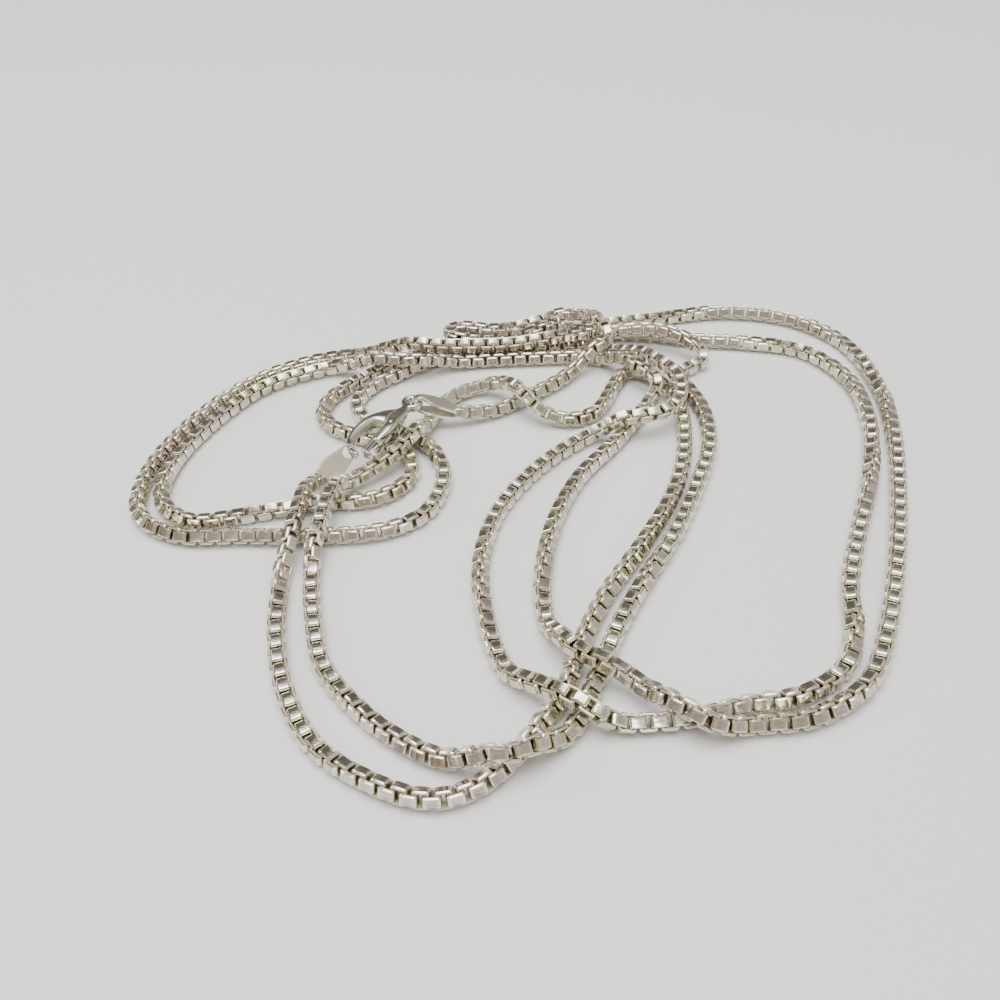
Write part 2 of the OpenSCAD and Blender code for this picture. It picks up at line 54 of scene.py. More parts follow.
# Route of the chain, from the hook tag to the eye tag, in mm. Layer 0 lies on the surface.
ROUTE = (
    # Outer lower loop, from the hook tag
    (-19.4, 3.2, 0.45), (-20.2, 0.8, 1), (-20.6, -3.4, 1), (-21, -5.8, 0.55), (-21.4, -8.4, 0),
    (-21, -14.4, 0), (-19.6, -20.4, 0), (-16.8, -25.6, 0), (-12.4, -29, 0), (-8.8, -30.4, 0),
    (-6, -30, 0), (-3.4, -28.2, 0),
    # Up inside the two ovals
    (-1, -25.2, 0), (1.2, -22.2, 0), (2.4, -18.8, 0), (5.2, -13, 0), (9.2, -7, 0), (12.6, -1.2, 0),
    (14.6, 4, 0), (15.6, 9, 0), (15.8, 13, 0), (15, 16, 0), (14, 18.2, 0), (12.6, 19.4, 0),
    # Past the eye tag
    (11, 19, 0), (9.8, 17, 0), (7.8, 13, 0), (5.8, 11.6, 0), (3.8, 11.6, 0.05), (1.8, 12.2, 0.6),
    (0.4, 13.8, 1), (-0.8, 15.8, 1), (-2.6, 17.6, 0.45), (-5, 17.8, 0), (-7.4, 16.2, 0),
    # Beside the clasp and over the left lobes
    (-8.8, 13.8, 0), (-9.5, 11.4, 0.3), (-10.1, 9.6, 0.95), (-11.1, 7.8, 1), (-12.7, 5.7, 0.75),
    (-16.2, 3.4, 0.3), (-17.4, 1.6, 0.9), (-18, -0.6, 1), (-18.4, -3.8, 1), (-18.8, -6, 0.55),
    # Inner lower loop
    (-18.8, -8.4, 0), (-18.2, -13.2, 0), (-16.8, -18.6, 0), (-13.2, -23.4, 0), (-9.6, -26.4, 0),
    (-7.2, -27.6, 0.2), (-5, -28.2, 0.9), (-2.8, -28.2, 1), (-1.2, -27.4, 0.75), (0.4, -26.4, 0.1),
    (1.8, -25, 0),
    # Up inside the two ovals again
    (3.4, -21.8, 0), (5.4, -17.2, 0), (8.4, -11.8, 0), (12.4, -5.4, 0), (15.4, 0.8, 0),
    (17.4, 6, 0), (18, 11, 0), (17.4, 15, 0),
    # Bight at the right and back along the bundle
    (16.6, 17.4, 0), (17, 18.8, 0), (18.2, 19.6, 0), (19.4, 20.4, 0.1), (19.6, 21.6, 0.35),
    (18.4, 22.8, 0.8), (16.8, 24, 1), (15.2, 24.9, 1), (13.2, 25.6, 0.85), (11, 25.6, 0.75),
    (8.4, 25.1, 0.95), (5.4, 24.7, 1.05), (2.8, 24.2, 1), (-0.4, 24, 0.85), (-5, 23.9, 0.95),
    (-8.4, 24.3, 0.95),
    # Outer left lobe
    (-11.2, 25, 1), (-13.6, 25.6, 0.55), (-16.4, 26, 0), (-22.8, 24.8, 0), (-28.8, 21, 0),
    (-33.4, 14.6, 0), (-36, 7.2, 0), (-35.6, 1, 0), (-31.4, -2.4, 0), (-25.4, -3, 0),
    # Its return and round under the clasp
    (-18.8, -3.6, 0), (-13.2, -3.4, 0), (-9.4, -1.2, 0), (-7.8, 3.6, 0), (-9.2, 8.4, 0),
    (-12.6, 11.2, 0), (-15.6, 13.4, 0), (-16.8, 16.6, 0),
    # Along the bundle
    (-15.2, 19.6, 0), (-12.8, 21.4, 0), (-10.6, 23, 0), (-8.4, 24.2, 0), (-3, 24.8, 0),
    (4, 24.5, 0), (8, 24.4, 0), (10.4, 23.6, 0),
    # Raised bight, then into the left oval
    (11.8, 22.4, 0.35), (13.2, 20.6, 0.9), (14.6, 18.6, 1), (15.8, 16.4, 1), (16, 14, 1),
    (15.4, 11.6, 1), (14, 10, 1), (12.6, 9.4, 1), (11, 9.2, 1), (9.4, 9, 1), (7.6, 8.8, 0.4),
    (5.6, 8.2, 0),
    # Left side of the left oval
    (1.2, 4.4, 0), (-2.8, -1.4, 0), (-4.6, -8, 0), (-4.3, -15, 0), (-3, -19.8, 0.1),
    (-1, -22, 0.75), (0.6, -23.2, 1), (2.2, -24.4, 1), (3.6, -25.2, 0.6), (5.4, -25.3, 0),
    # Right side of that oval
    (9.4, -25.2, 0), (14.4, -24.2, 0), (18, -23.8, 0), (21.8, -21.6, 0), (23.8, -17.8, 0),
    (25.2, -12.4, 0), (28, -6, 0), (31.2, 1, 0), (33.4, 8.4, 0), (33.6, 15.4, 0), (30.4, 21.4, 0),
    (24.4, 23.8, 0),
    # Back along the bundle
    (19.8, 24.8, 0), (15.8, 26.4, 0), (12.4, 27.2, 0), (8.4, 27, 0), (5, 26, 0), (2, 26.4, 0),
    (-3, 26.4, 0), (-8.4, 26, 0), (-11.6, 24.6, 0), (-14.6, 22.6, 0),
    # Small lobe under the clasp
    (-18.6, 19, 0), (-20.2, 15.6, 0), (-18.8, 12.4, 0), (-15, 10, 0), (-12, 8.2, 0),
    (-10.8, 5.8, 0), (-11.4, 3, 0), (-14.4, 1, 0),
    # Inner left lobe
    (-20, 0.8, 0), (-26, -0.2, 0), (-30.6, -0.6, 0), (-33.9, 2.8, 0), (-33.8, 8.4, 0),
    (-31.2, 14.8, 0), (-27, 20.4, 0), (-21.2, 23.2, 0), (-17.6, 23, 0.4),
    # Front of the bundle
    (-15.2, 22.4, 1), (-12.6, 21.8, 1), (-10.4, 21.8, 0.95), (-8.4, 22.5, 0.55), (-5.8, 23, 0.1),
    (-2.4, 23.2, 0), (4, 23, 0), (7.2, 22.8, 0), (9, 22, 0.05), (10.2, 20.8, 0.6),
    # Turn beside the raised bight
    (11.2, 19.4, 1), (12.4, 17.8, 1), (13.4, 16.8, 0.95), (14, 15.4, 0.75), (13.4, 14.2, 0.35),
    (12.6, 13.2, 0), (11.2, 11, 0), (8.6, 7.2, 0), (4.6, 2.2, 0),
    # Left side of the right oval
    (1.8, -4, 0), (0.4, -10.6, 0), (0.4, -15.2, 0.1), (1.2, -17.6, 0.8), (2.4, -19.4, 1),
    (4, -20.6, 1), (5.6, -21.6, 0.7), (7, -23, 0.6), (8.2, -24.4, 0.95), (9.6, -25.6, 1),
    # Right side of that oval
    (11.4, -26.4, 0.6), (14, -26, 0), (18.8, -25.6, 0), (23.4, -22.8, 0), (26.4, -17.8, 0),
    (29.4, -11, 0), (32.2, -3.4, 0), (34.8, 5.2, 0), (36.2, 13.8, 0), (35.2, 22.4, 0),
    (30.8, 28, 0), (24, 30.4, 0),
    # Behind the bundle
    (16.8, 29.9, 0), (11.6, 29.4, 0), (8, 28.8, 0), (6.2, 28.3, 0.15), (4.8, 27.3, 0.65),
    (3.2, 26.4, 1), (0.6, 25.7, 0.85), (-2.4, 25.6, 0.85), (-4.2, 25.5, 0.9), (-5.4, 25.5, 0.95),
    # Hairpin and the top row
    (-6.9, 26, 1), (-7.1, 27.2, 0.95), (-6, 28, 0.9), (-4.4, 27.7, 0.85), (-2.2, 27.2, 0.85),
    (0.6, 27.4, 0.9), (3, 28.1, 1), (5.2, 28.8, 1.15), (6.9, 28.2, 1.25), (8.1, 26.8, 1.65),
    (8.9, 25.3, 2), (9.8, 23.8, 1.4),
    # Down to the eye tag
    (9.4, 22.6, 1.25), (8, 21.6, 1), (6.2, 20.4, 0.25), (4.4, 18.6, 0), (1.8, 16.6, 0),
    (-1.8, 14.2, 0), (-4.2, 13.3, 0.15), (-6.2, 12.8, 0.45))
# Middle of the route's plan, and the row at which the chain is divided into its two halves
MIDDLE = (0.1, 0)
HALFWAY = 120
# Height of a strand's middle on the surface, height of a layer, gap between the chain's end and its
# tag, and air under the lowest links, in mm
STRAND_Z = 0.7
LAYER_Z = 1.6
END_GAP = 0.2
LINK_LIFT = 0.06
# Seed of the links' lean
SEED = 7
# Roll of the chain about its own length, in degrees, at some rows of the route
ROLL = (
    (0, 10), (1.6, 12), (2.6, 42), (4.2, 46), (5.1, 86), (6.4, 88), (7.4, 80), (8.3, 64), (9.5, 63),
    (12, 48), (14.8, 45), (16, 62), (17, 75), (18, 82), (19, 85), (20, 80), (22, 100), (24, 112),
    (26, 105), (28, 110), (29.7, 142), (31, 160), (32, 195), (33, 215), (34, 218), (36, 190),
    (40, 185), (43.3, 182), (44.4, 225), (45.1, 266), (47.3, 264), (48.6, 246), (50, 243),
    (51.8, 222), (55.5, 222), (57, 185), (57.7, 180), (58.2, 135), (59, 84), (60, 88), (61, 98),
    (62, 105), (64, 95), (66, 100), (68, 90), (70, 110), (73, 110), (76, 72), (80, 70), (82, 80),
    (84, 110), (86, 112), (87, 125), (88, 138), (89.2, 138), (90, 150), (91.4, 156), (92.2, 185),
    (93.3, 180), (94.2, 225), (95, 250), (96, 270), (97, 265), (98.5, 248), (101, 250), (103, 285),
    (108, 285), (109.5, 275), (111, 260), (112.5, 248), (116, 250), (117.2, 265), (119.4, 270),
    (120, 305), (120.5, 318), (121.3, 350), (122.4, 360), (125, 368), (128, 395), (130, 426),
    (131.3, 455), (132.1, 495), (132.8, 535), (134, 542), (134.9, 585), (135.6, 628), (136.2, 632),
    (136.8, 655), (137.4, 648), (138, 612), (139.3, 652), (143, 652), (144, 640), (147, 635),
    (148, 650), (149, 620), (149.7, 625), (150.3, 655), (151, 675), (152, 700), (153, 700),
    (154.5, 720), (155.5, 722), (156.5, 742), (157.3, 745), (158, 690), (159, 720), (159.5, 742),
    (160, 742), (161, 765), (162, 800), (163, 812), (164, 828), (165, 830), (166.3, 792),
    (168, 790), (169, 800), (171, 795), (176, 790), (178, 800), (180, 820), (184, 828),
    (185.5, 822), (186.6, 855), (187.6, 895), (188.5, 908), (190, 900), (192, 890), (196, 857),
    (198, 857), (199, 880), (199.7, 900), (203.2, 900), (204, 945), (204.6, 990), (206, 1012),
    (207.3, 1012), (208.2, 975), (209.5, 975), (210.5, 1010), (212.5, 1010), (214, 980),
    (218, 1000), (221, 980), (223.5, 1010), (226, 965), (228, 990), (230, 1000), (231, 1012),
    (233, 1018), (237, 1014))

# Plan of the clasp in its own frame, the eye at its origin, as shares of its reach:
# (along, across, half width) of the hook, of the root that carries the hinge, and of its cheeks
HOOK = ((0.07, 0, 0.05), (0.13, 0, 0.052), (0.21, -0.012, 0.075), (0.32, -0.07, 0.115),
        (0.42, -0.165, 0.065), (0.56, -0.2, 0.048), (0.7, -0.202, 0.043), (0.83, -0.16, 0.037),
        (0.915, -0.09, 0.031), (0.95, -0.025, 0.029), (0.952, 0.012, 0.026))
ROOT = ((0.18, 0, 0.065), (0.34, 0.02, 0.085), (0.46, 0.075, 0.066))
CHEEK = ((0.4, 0.055, 0.06), (0.47, 0.08, 0.064), (0.55, 0.092, 0.056), (0.63, 0.09, 0.044),
         (0.71, 0.085, 0.034))
# Side view: (along, share of the extra thickness in the middle)
BULGE = ((-0.13, 0), (0.12, 0), (0.28, 0.35), (0.42, 0.85), (0.52, 0.95), (0.62, 0.7), (0.76, 0.25),
         (0.86, 0), (1.1, 0))
# Where the hook tag's hole hangs, in the same shares
HANG_AT = (0.945, -0.09, -0.005)
# Place of the eye over the route's plan, in mm, and direction of the clasp's length, in degrees
EYE_AT = (-10.8, 12.7, 3.0)
CLASP_TURN = -123
# Inner edge of the lever: (share of its length, across in mm)
LEVER_EDGE = ((0.3, -0.62), (0.7, -0.38), (1.0, -0.2))
# Outline of the thumb tab, in mm: (from the lever's end, across)
TAB = ((-1.3, 0.3), (-1.15, 0.8), (-0.95, 1.15), (-0.6, 1.25), (-0.25, 1.15), (-0.06, 0.8), (-0.05, 0.3))
# Cells of the skins that join the shells of a casting, coarser and finer, in mm
SKIN, FINE_SKIN = 0.045, 0.03

# Cells to the metre of the silver's noises: worn patches, grain, scratches, and stretches of one tint
PATCHES, GRAIN, SCRATCHES, STRETCHES = 420.0, 2600.0, 700.0, 75.0
# Depth of the silver's relief, in metres
RELIEF = 0.00002

# Light of the room: its back wall low and high, its front, its right side and its ceiling
BACK_LOW, BACK_HIGH = (0.28, 0.26, 0.22, 1.0), (0.165, 0.17, 0.15, 1.0)
FRONT, RIGHT, CEILING = (0.6, 0.55, 0.48, 1.0), (0.85, 0.83, 0.78, 1.0), (1.9, 1.9, 1.9, 1.0)
# Lamps that face the middle: (name, place, size in metres, power in watts)
LAMPS = (("overhead", (-0.02, -0.02, 0.42), 0.36, 2.1), ("side", (-0.4, 0.1, 0.28), 0.16, 0.6))
# Half of the surface's width, and place of the camera, in metres
SURFACE = 3.0
CAMERA_AT = (-0.0028, -0.0676, 0.0585)


def length(name, text, default):
    """A length in a group of sizes."""
    return bpy.props.FloatProperty(name=name, description=text, default=default * MM, min=0.0,
                                   precision=5, subtype="DISTANCE", unit="LENGTH")


def number(name, text, default):
    """A size in millimetres of a piece that is drawn in its own millimetres."""
    return bpy.props.FloatProperty(name=name, description=text + ", in mm", default=default,
                                   min=0.0, precision=3)


def angle(name, text, default):
    """An angle in a group of sizes."""
    return bpy.props.FloatProperty(name=name, description=text, default=math.radians(default),
                                   subtype="ANGLE", unit="ROTATION")


def colour(name, text, default):
    """A colour in a group of finishes."""
    return bpy.props.FloatVectorProperty(name=name, description=text, default=default, size=3,
                                         min=0.0, max=1.0, subtype="COLOR")


class ChainSizes(bpy.types.PropertyGroup):
    """Sizes of the box chain."""
    link_w: length("Link width", "Outer width of a link, across the chain", 1.4)
    link_l: length("Link length", "Outer length of a link, along the chain", 1.3)
    wall: length("Wall", "Thickness of the strip that a link is bent from", 0.22)
    strip_w: length("Strip width", "Width of the strip that a link is bent from", 0.84)
    corner_r: length("Corner radius", "Outer radius at the corners of a link", 0.24)
    edge: length("Edge", "Worn bevel along the outer edges of a link", 0.08)
    pitch: length("Pitch", "Distance from one link to the next", 0.76)
    layer_h: length("Layer height", "Height from one layer of strands to the next", LAYER_Z)
    wobble: angle("Wobble", "Most that a link leans in its neighbours", 2.5)


class ClaspSizes(bpy.types.PropertyGroup):
    """Sizes of the clasp, in its own millimetres."""
    reach: number("Reach", "From the middle of the eye to the tip of the hook", 9.7)
    thick: number("Thickness", "Thickness at the hinge", 2.2)
    thin: number("Thin ends", "Thickness at the eye and at the tip of the hook", 0.8)
    eye_d: number("Eye", "Outer diameter of the eye", 2.2)
    eye_hole_d: number("Eye hole", "Hole in the eye", 1.1)
    lever_t: number("Lever thickness", "Thickness of the lever", 0.9)
    lever_w: number("Lever width", "Width of the lever at its hinge", 1.4)
    lever_l: number("Lever length", "From the hinge to the lever's free end", 4.3)
    slot_gap: number("Slot gap", "Clearance beside the lever", 0.08)
    pin_d: number("Pin", "Diameter of the hinge pin", 0.5)


class TagSizes(bpy.types.PropertyGroup):
    """Sizes of the two tags, in their own millimetres."""
    sheet_t: number("Sheet", "Thickness of the sheet", 0.3)
    leaf_w: number("Leaf width", "Width of the leaf on the hook", 2.6)
    leaf_hole_d: number("Leaf hole", "Hole that the hook passes through", 1.15)
    leaf_rim: number("Leaf rim", "Metal between the hole and the leaf's tip", 0.2)
    leaf_fold_w: number("Fold width", "Width of the leaf at its fold", 1.6)
    leaf_fold_r: number("Fold radius", "Inner radius of the leaf's fold", 0.3)
    flap_l: number("Flap", "Length of the flap behind the leaf", 2.0)
    flap_open: angle("Flap angle", "Angle that the flap stands open by", 8)
    leaf_roll: angle("Leaf roll", "Roll of the leaf about its length", -50)
    strip_w: number("Strip width", "Width of the strip through the eye", 1.5)
    strip_waist_w: number("Waist", "Width of the strip inside the eye", 0.7)
    strip_bend_r: number("Bend radius", "Inner radius of the strip at the eye", 0.6)
    strip_end_r: number("End radius", "Inner radius of the strip at the chain", 0.25)


class SilverFinish(bpy.types.PropertyGroup):
    """Colours of the silver."""
    bright: colour("Silver", "Polished silver", (0.87, 0.835, 0.745))
    cast: colour("Cast silver", "Cooler, darker silver of the clasp", (0.64, 0.625, 0.6))
    worn: colour("Worn silver", "Duller silver in patches", (0.6, 0.55, 0.445))
    rosy: colour("Rosy tint", "Tint of some stretches of the chain", (0.78, 0.67, 0.59))
    straw: colour("Straw tint", "Tint of the other stretches", (0.74, 0.715, 0.48))
    # Painted shade: the darker middle of a link's flats, as a dished face would reflect the room
    dished_shade: colour("Rubbed silver", "Greyer silver in the middle of a link's flats", (0.46, 0.44, 0.42))
    # Colour of the olive tarnish, also painted as shade inside the links and inside the clasp's hook
    shaded_tarnish: colour("Tarnish", "Olive tarnish inside the links", (0.5, 0.44, 0.29))


class StageLook(bpy.types.PropertyGroup):
    """Surface, light and camera."""
    floor: colour("Surface", "Pale surface under the necklace", (0.78, 0.775, 0.765))
    pitch: angle("Camera pitch", "How far the camera looks down", 40.529)
    roll: angle("Camera roll", "Turn of the camera about its view", -3.339)
    lens: bpy.props.FloatProperty(name="Lens", description="Focal length on a 36 mm sensor",
                                  default=35.43, subtype="DISTANCE_CAMERA")


def node(tree, kind, inputs=None, **settings):
    """Add a node, and fill or link its inputs by name or number."""
    made = tree.nodes.new(kind)
    for key, value in settings.items():
        setattr(made, key, value)
    for key, value in (inputs or {}).items():
        if isinstance(value, bpy.types.NodeSocket):
            tree.links.new(value, made.inputs[key])
        else:
            made.inputs[key].default_value = value
    return made


def math_node(tree, operation, first, second=0.0):
    """Output of one sum on two numbers."""
    return node(tree, "ShaderNodeMath", {0: first, 1: second}, operation=operation).outputs[0]


def mixed(tree, factor, low, high):
    """Output of a blend of two colours."""
    blend = node(tree, "ShaderNodeMix", {0: factor, 6: low, 7: high}, data_type="RGBA")
    return blend.outputs[2]


def ranged(tree, value, low, high, to_low=0.0, to_high=1.0):
    """A number carried from one range to another, and held inside it."""
    return node(tree, "ShaderNodeMapRange", {0: value, 1: low, 2: high, 3: to_low, 4: to_high}).outputs[0]


def emptied(owner):
    """Empty node tree of a material or of the world."""
    owner.use_nodes = True
    owner.node_tree.nodes.clear()
    return owner.node_tree


def noise(tree, place, scale, detail):
    """Output of a noise over a place."""
    made = node(tree, "ShaderNodeTexNoise", {"Vector": place, "Scale": scale, "Detail": detail})
    return made.outputs["Fac"]


def painted(tree, name, output="Fac"):
    """Output of an attribute of the mesh."""
    return node(tree, "ShaderNodeAttribute", attribute_name=name).outputs[output]


def product(tree, first, second):
    """Two numbers multiplied."""
    return math_node(tree, "MULTIPLY", first, second)


def less(tree, first, second):
    """The first number less the second."""
    return math_node(tree, "SUBTRACT", first, second)


def silver(name, satin=0.0, wear=1.0, cast=False):
    """Sterling silver: polished or satin, worn in patches, with painted shade in the middle of its flats,
    scratched, and tarnished in its hollows, where shade is painted too.
    """
    finish = bpy.context.scene.silver_finish
    made = bpy.data.materials.new(name)
    tree = emptied(made)
    place = node(tree, "ShaderNodeTexCoord").outputs["Object"]
    cloud = noise(tree, place, PATCHES, 4.0)
    grain = noise(tree, place, GRAIN, 3.0)
    streaks = node(tree, "ShaderNodeMapping", {"Vector": place, "Rotation": (0.4, 0.9, 0.6),
                                               "Scale": (1.0, 14.0, 14.0)}).outputs["Vector"]
    scratch = noise(tree, streaks, SCRATCHES, 2.0)

    drift = ranged(tree, noise(tree, place, STRETCHES, 1.0), 0.42, 0.62)
    tint = mixed(tree, drift, (*finish.rosy, 1.0), (*finish.straw, 1.0))
    metal = finish.cast if cast else finish.bright
    bright = mixed(tree, 0.15 if cast else 0.6 * wear, (*metal, 1.0), tint)
    dull = mixed(tree, ranged(tree, cloud, 0.42, 0.7, 0.0, 0.7 * wear), bright, (*finish.worn, 1.0))
    flat = node(tree, "ShaderNodeSeparateXYZ", {0: painted(tree, "flat", "Vector")}).outputs
    across = [less(tree, 1.0, math_node(tree, "POWER", flat[k], 4.0)) for k in (0, 1)]
    dish = product(tree, flat[2], product(tree, *across))
    # Painted shade: each flat darker towards its middle, broken up by the scratches
    dished_shade = product(tree, ranged(tree, dish, 0.1, 0.8), ranged(tree, scratch, 0.4, 0.6, 0.2, 0.75))
    dull = mixed(tree, dished_shade, dull, (*finish.dished_shade, 1.0))
    # Olive tarnish and painted shade inside the links, and painted shade inside the clasp's hook
    tarnished_and_shaded = product(tree, painted(tree, "hollow"), ranged(tree, grain, 0.25, 0.6, 0.6, 1.0))
    base = mixed(tree, tarnished_and_shaded, dull, (*finish.shaded_tarnish, 1.0))

    polish = ranged(tree, cloud, 0.35, 0.7, 0.05 if cast else 0.1, 0.17 if cast else 0.22)
    rough = math_node(tree, "ADD", polish, product(tree, painted(tree, "brushed"), satin))
    rough = math_node(tree, "ADD", rough, product(tree, tarnished_and_shaded, 0.3))
    worked = less(tree, product(tree, scratch, 1.8), product(tree, dish, 2.0))
    relief = math_node(tree, "ADD", product(tree, grain, 0.6), worked)
    bump = node(tree, "ShaderNodeBump", {"Strength": 0.35 * wear, "Distance": RELIEF, "Height": relief})
    shader = node(tree, "ShaderNodeBsdfPrincipled", {
        "Base Color": base, "Metallic": less(tree, 1.0, product(tree, tarnished_and_shaded, 0.9)), "Roughness": rough,
        "Normal": bump.outputs["Normal"]})
    node(tree, "ShaderNodeOutputMaterial", {"Surface": shader.outputs[0]})
    return made


def new_object(name, data):
    """An object of a mesh, a lamp or a camera, in the scene."""
    made = bpy.data.objects.new(name, data)
    bpy.context.scene.collection.objects.link(made)
    return made


def one_link(sizes):
    """One link: a ring of strip with round corners, its length along x and its hole along z."""
    half_l, half_w, bends = sizes.link_l / 2 - sizes.corner_r, sizes.link_w / 2 - sizes.corner_r, 3
    top, rim = sizes.strip_w / 2, sizes.strip_w / 2 - sizes.edge
    # Section of the strip: (distance from the outside, height, share of tarnish and painted shade)
    strip = ((0, -rim, 0.0), (0, rim, 0.0), (sizes.edge, top, 0.08), (sizes.wall, top, 1.0),
             (sizes.wall, -top, 1.0), (sizes.edge, -top, 0.08))
    build = bmesh.new()
    hollow = build.verts.layers.float.new("hollow")
    flat = build.loops.layers.float_vector.new("flat")
    rows = []
    for quarter in range(4):
        corner = Vector((half_l if quarter in (0, 3) else -half_l, half_w if quarter < 2 else -half_w, 0))
        for step in range(bends):
            turn = math.radians(90 * quarter + 90 * step / (bends - 1))
            row = []
            for inset, height, depth in strip:
                reach = sizes.corner_r - inset
                bent = Vector((reach * math.cos(turn), reach * math.sin(turn), height))
                vert = build.verts.new(corner + bent)
                vert[hollow] = depth
                row.append(vert)
            rows.append(row)
    for i, row in enumerate(rows):
        after = rows[(i + 1) % len(rows)]
        for k in range(len(strip)):
            j = (k + 1) % len(strip)
            face = build.faces.new((row[k], after[k], after[j], row[j]))
            face.smooth = True
            if k == 0 and i % bends == bends - 1:
                # One of the four flats: its corners, for the painted shade in its middle
                for loop, across in zip(face.loops, ((-1, -1), (1, -1), (1, 1), (-1, 1))):
                    loop[flat] = (*across, 1)
            build.edges.get((row[k], after[k])).smooth = False
    return drawn("link", build)


def roll_at(row):
    """Roll of the chain at a row of its route."""
    for (first, a), (last, b) in zip(ROLL, ROLL[1:]):
        if first <= row <= last:
            share = (row - first) / (last - first)
            share = share * share * (3 - 2 * share)
            return math.radians(a + (b - a) * share)
    return math.radians(ROLL[-1][1])


def route_mesh(sizes):
    """The route as a line of points, with the chain's roll and lowest height at each."""
    points, rolls, rests = [], [], []
    for i, (x, y, layer) in enumerate(ROUTE):
        roll = roll_at(i)
        folded = abs((roll + math.pi / 4) % (math.pi / 2) - math.pi / 4)
        rest = sizes.link_w / 2 * math.cos(folded) + sizes.strip_w / 2 * math.sin(folded) + LINK_LIFT * MM
        points.append(((x - MIDDLE[0]) * MM, (y - MIDDLE[1]) * MM, rest + sizes.layer_h * layer))
        rolls.append(roll)
        rests.append(rest)
    mesh = bpy.data.meshes.new("route")
    mesh.from_pydata(points, [(i, i + 1) for i in range(len(points) - 1)], [])
    for name, values in (("roll", rolls), ("rest", rests), ("row", range(len(points)))):
        mesh.attributes.new(name, "FLOAT", "POINT").data.foreach_set("value", list(values))
    return mesh


def chain_tree():
    """Geometry nodes that string links along a route."""
    tree = bpy.data.node_groups.new("String links", "GeometryNodeTree")
    tree.is_modifier = True
    for name, kind, default in (("Route", "Geometry", None), ("Link", "Object", None),
                                ("Pitch", "Float", 0.76 * MM), ("Wobble", "Float", 0.04),
                                ("First row", "Float", 0.0), ("Last row", "Float", 1.0),
                                ("Seed", "Int", SEED), ("Finish", "Material", None)):
        socket = tree.interface.new_socket(name, in_out="INPUT", socket_type="NodeSocket" + kind)
        if default is not None:
            socket.default_value = default
    tree.interface.new_socket("Links", in_out="OUTPUT", socket_type="NodeSocketGeometry")
    given = node(tree, "NodeGroupInput").outputs

    def out(kind, inputs=None, **settings):
        return node(tree, kind, inputs, **settings).outputs[0]

    def attribute(name):
        return out("GeometryNodeInputNamedAttribute", {"Name": name}, data_type="FLOAT")

    # The route as points a pitch apart, none lower than its link can lie
    line = out("GeometryNodeMeshToCurve", {"Mesh": given["Route"]})
    line = out("GeometryNodeCurveSplineType", {"Curve": line}, spline_type="CATMULL_ROM")
    line = out("GeometryNodeSetSplineResolution", {"Geometry": line, "Resolution": 16})
    line = out("GeometryNodeResampleCurve", {"Curve": line, "Length": given["Pitch"]}, mode="LENGTH")
    at = node(tree, "ShaderNodeSeparateXYZ", {0: out("GeometryNodeInputPosition")}).outputs
    height = math_node(tree, "MAXIMUM", at[2], attribute("rest"))
    lifted = out("ShaderNodeCombineXYZ", {0: at[0], 1: at[1], 2: height})
    line = out("GeometryNodeSetPosition", {"Geometry": line, "Position": lifted})
    points = node(tree, "GeometryNodeCurveToPoints", {"Curve": line}, mode="EVALUATED").outputs

    # Each link faces along the chain, a quarter turn from the last one, and leans a little
    index = out("GeometryNodeInputIndex")
    other = product(tree, math_node(tree, "MODULO", index, 2.0), math.pi / 2)
    lean = out("FunctionNodeRandomValue", {0: (-1, -1, -1), 1: (1, 1, 1), "ID": index,
                                           "Seed": given["Seed"]}, data_type="FLOAT_VECTOR")
    lean = out("ShaderNodeVectorMath", {0: lean, "Scale": given["Wobble"]}, operation="SCALE")
    lean = node(tree, "ShaderNodeSeparateXYZ", {0: lean}).outputs
    spin = math_node(tree, "ADD", math_node(tree, "ADD", attribute("roll"), other), lean[0])
    turn = out("ShaderNodeCombineXYZ", {0: spin, 1: lean[1], 2: lean[2]})
    turn = out("FunctionNodeEulerToRotation", {0: turn})
    facing = out("FunctionNodeAxesToRotation", {0: points["Tangent"], 1: (0, 0, 1)},
                 primary_axis="X", secondary_axis="Z")
    facing = out("FunctionNodeRotateRotation", {0: facing, 1: turn}, rotation_space="LOCAL")

    # Only the links between the two rows
    row = attribute("row")
    past = out("FunctionNodeCompare", {0: row, 1: given["First row"]}, operation="GREATER_EQUAL")
    before = out("FunctionNodeCompare", {0: row, 1: given["Last row"]}, operation="LESS_THAN")
    chosen = out("FunctionNodeBooleanMath", {0: past, 1: before}, operation="AND")
    link = node(tree, "GeometryNodeObjectInfo", {"Object": given["Link"]}).outputs["Geometry"]
    links = out("GeometryNodeInstanceOnPoints", {"Points": points["Points"], "Selection": chosen,
                                                 "Instance": link, "Rotation": facing})
    links = out("GeometryNodeRealizeInstances", {"Geometry": links})
    links = out("GeometryNodeSetMaterial", {"Geometry": links, "Material": given["Finish"]})
    node(tree, "NodeGroupOutput", {0: links})
    return tree


def strung(name, tree, values):
    """A plain mesh object of the tree's result, in place of its route."""
    piece = new_object(name, route_mesh(bpy.context.scene.chain_sizes))
    strings = piece.modifiers.new("Links", "NODES")
    strings.node_group = tree
    for socket in tree.interface.items_tree:
        if socket.name in values:
            strings[socket.identifier] = values[socket.name]
    seen = piece.evaluated_get(bpy.context.evaluated_depsgraph_get())
    mesh = bpy.data.meshes.new_from_object(seen)
    piece.modifiers.clear()
    piece.data = mesh
    for spare in ("roll", "rest", "row"):
        if spare in mesh.attributes:
            mesh.attributes.remove(mesh.attributes[spare])
    return piece


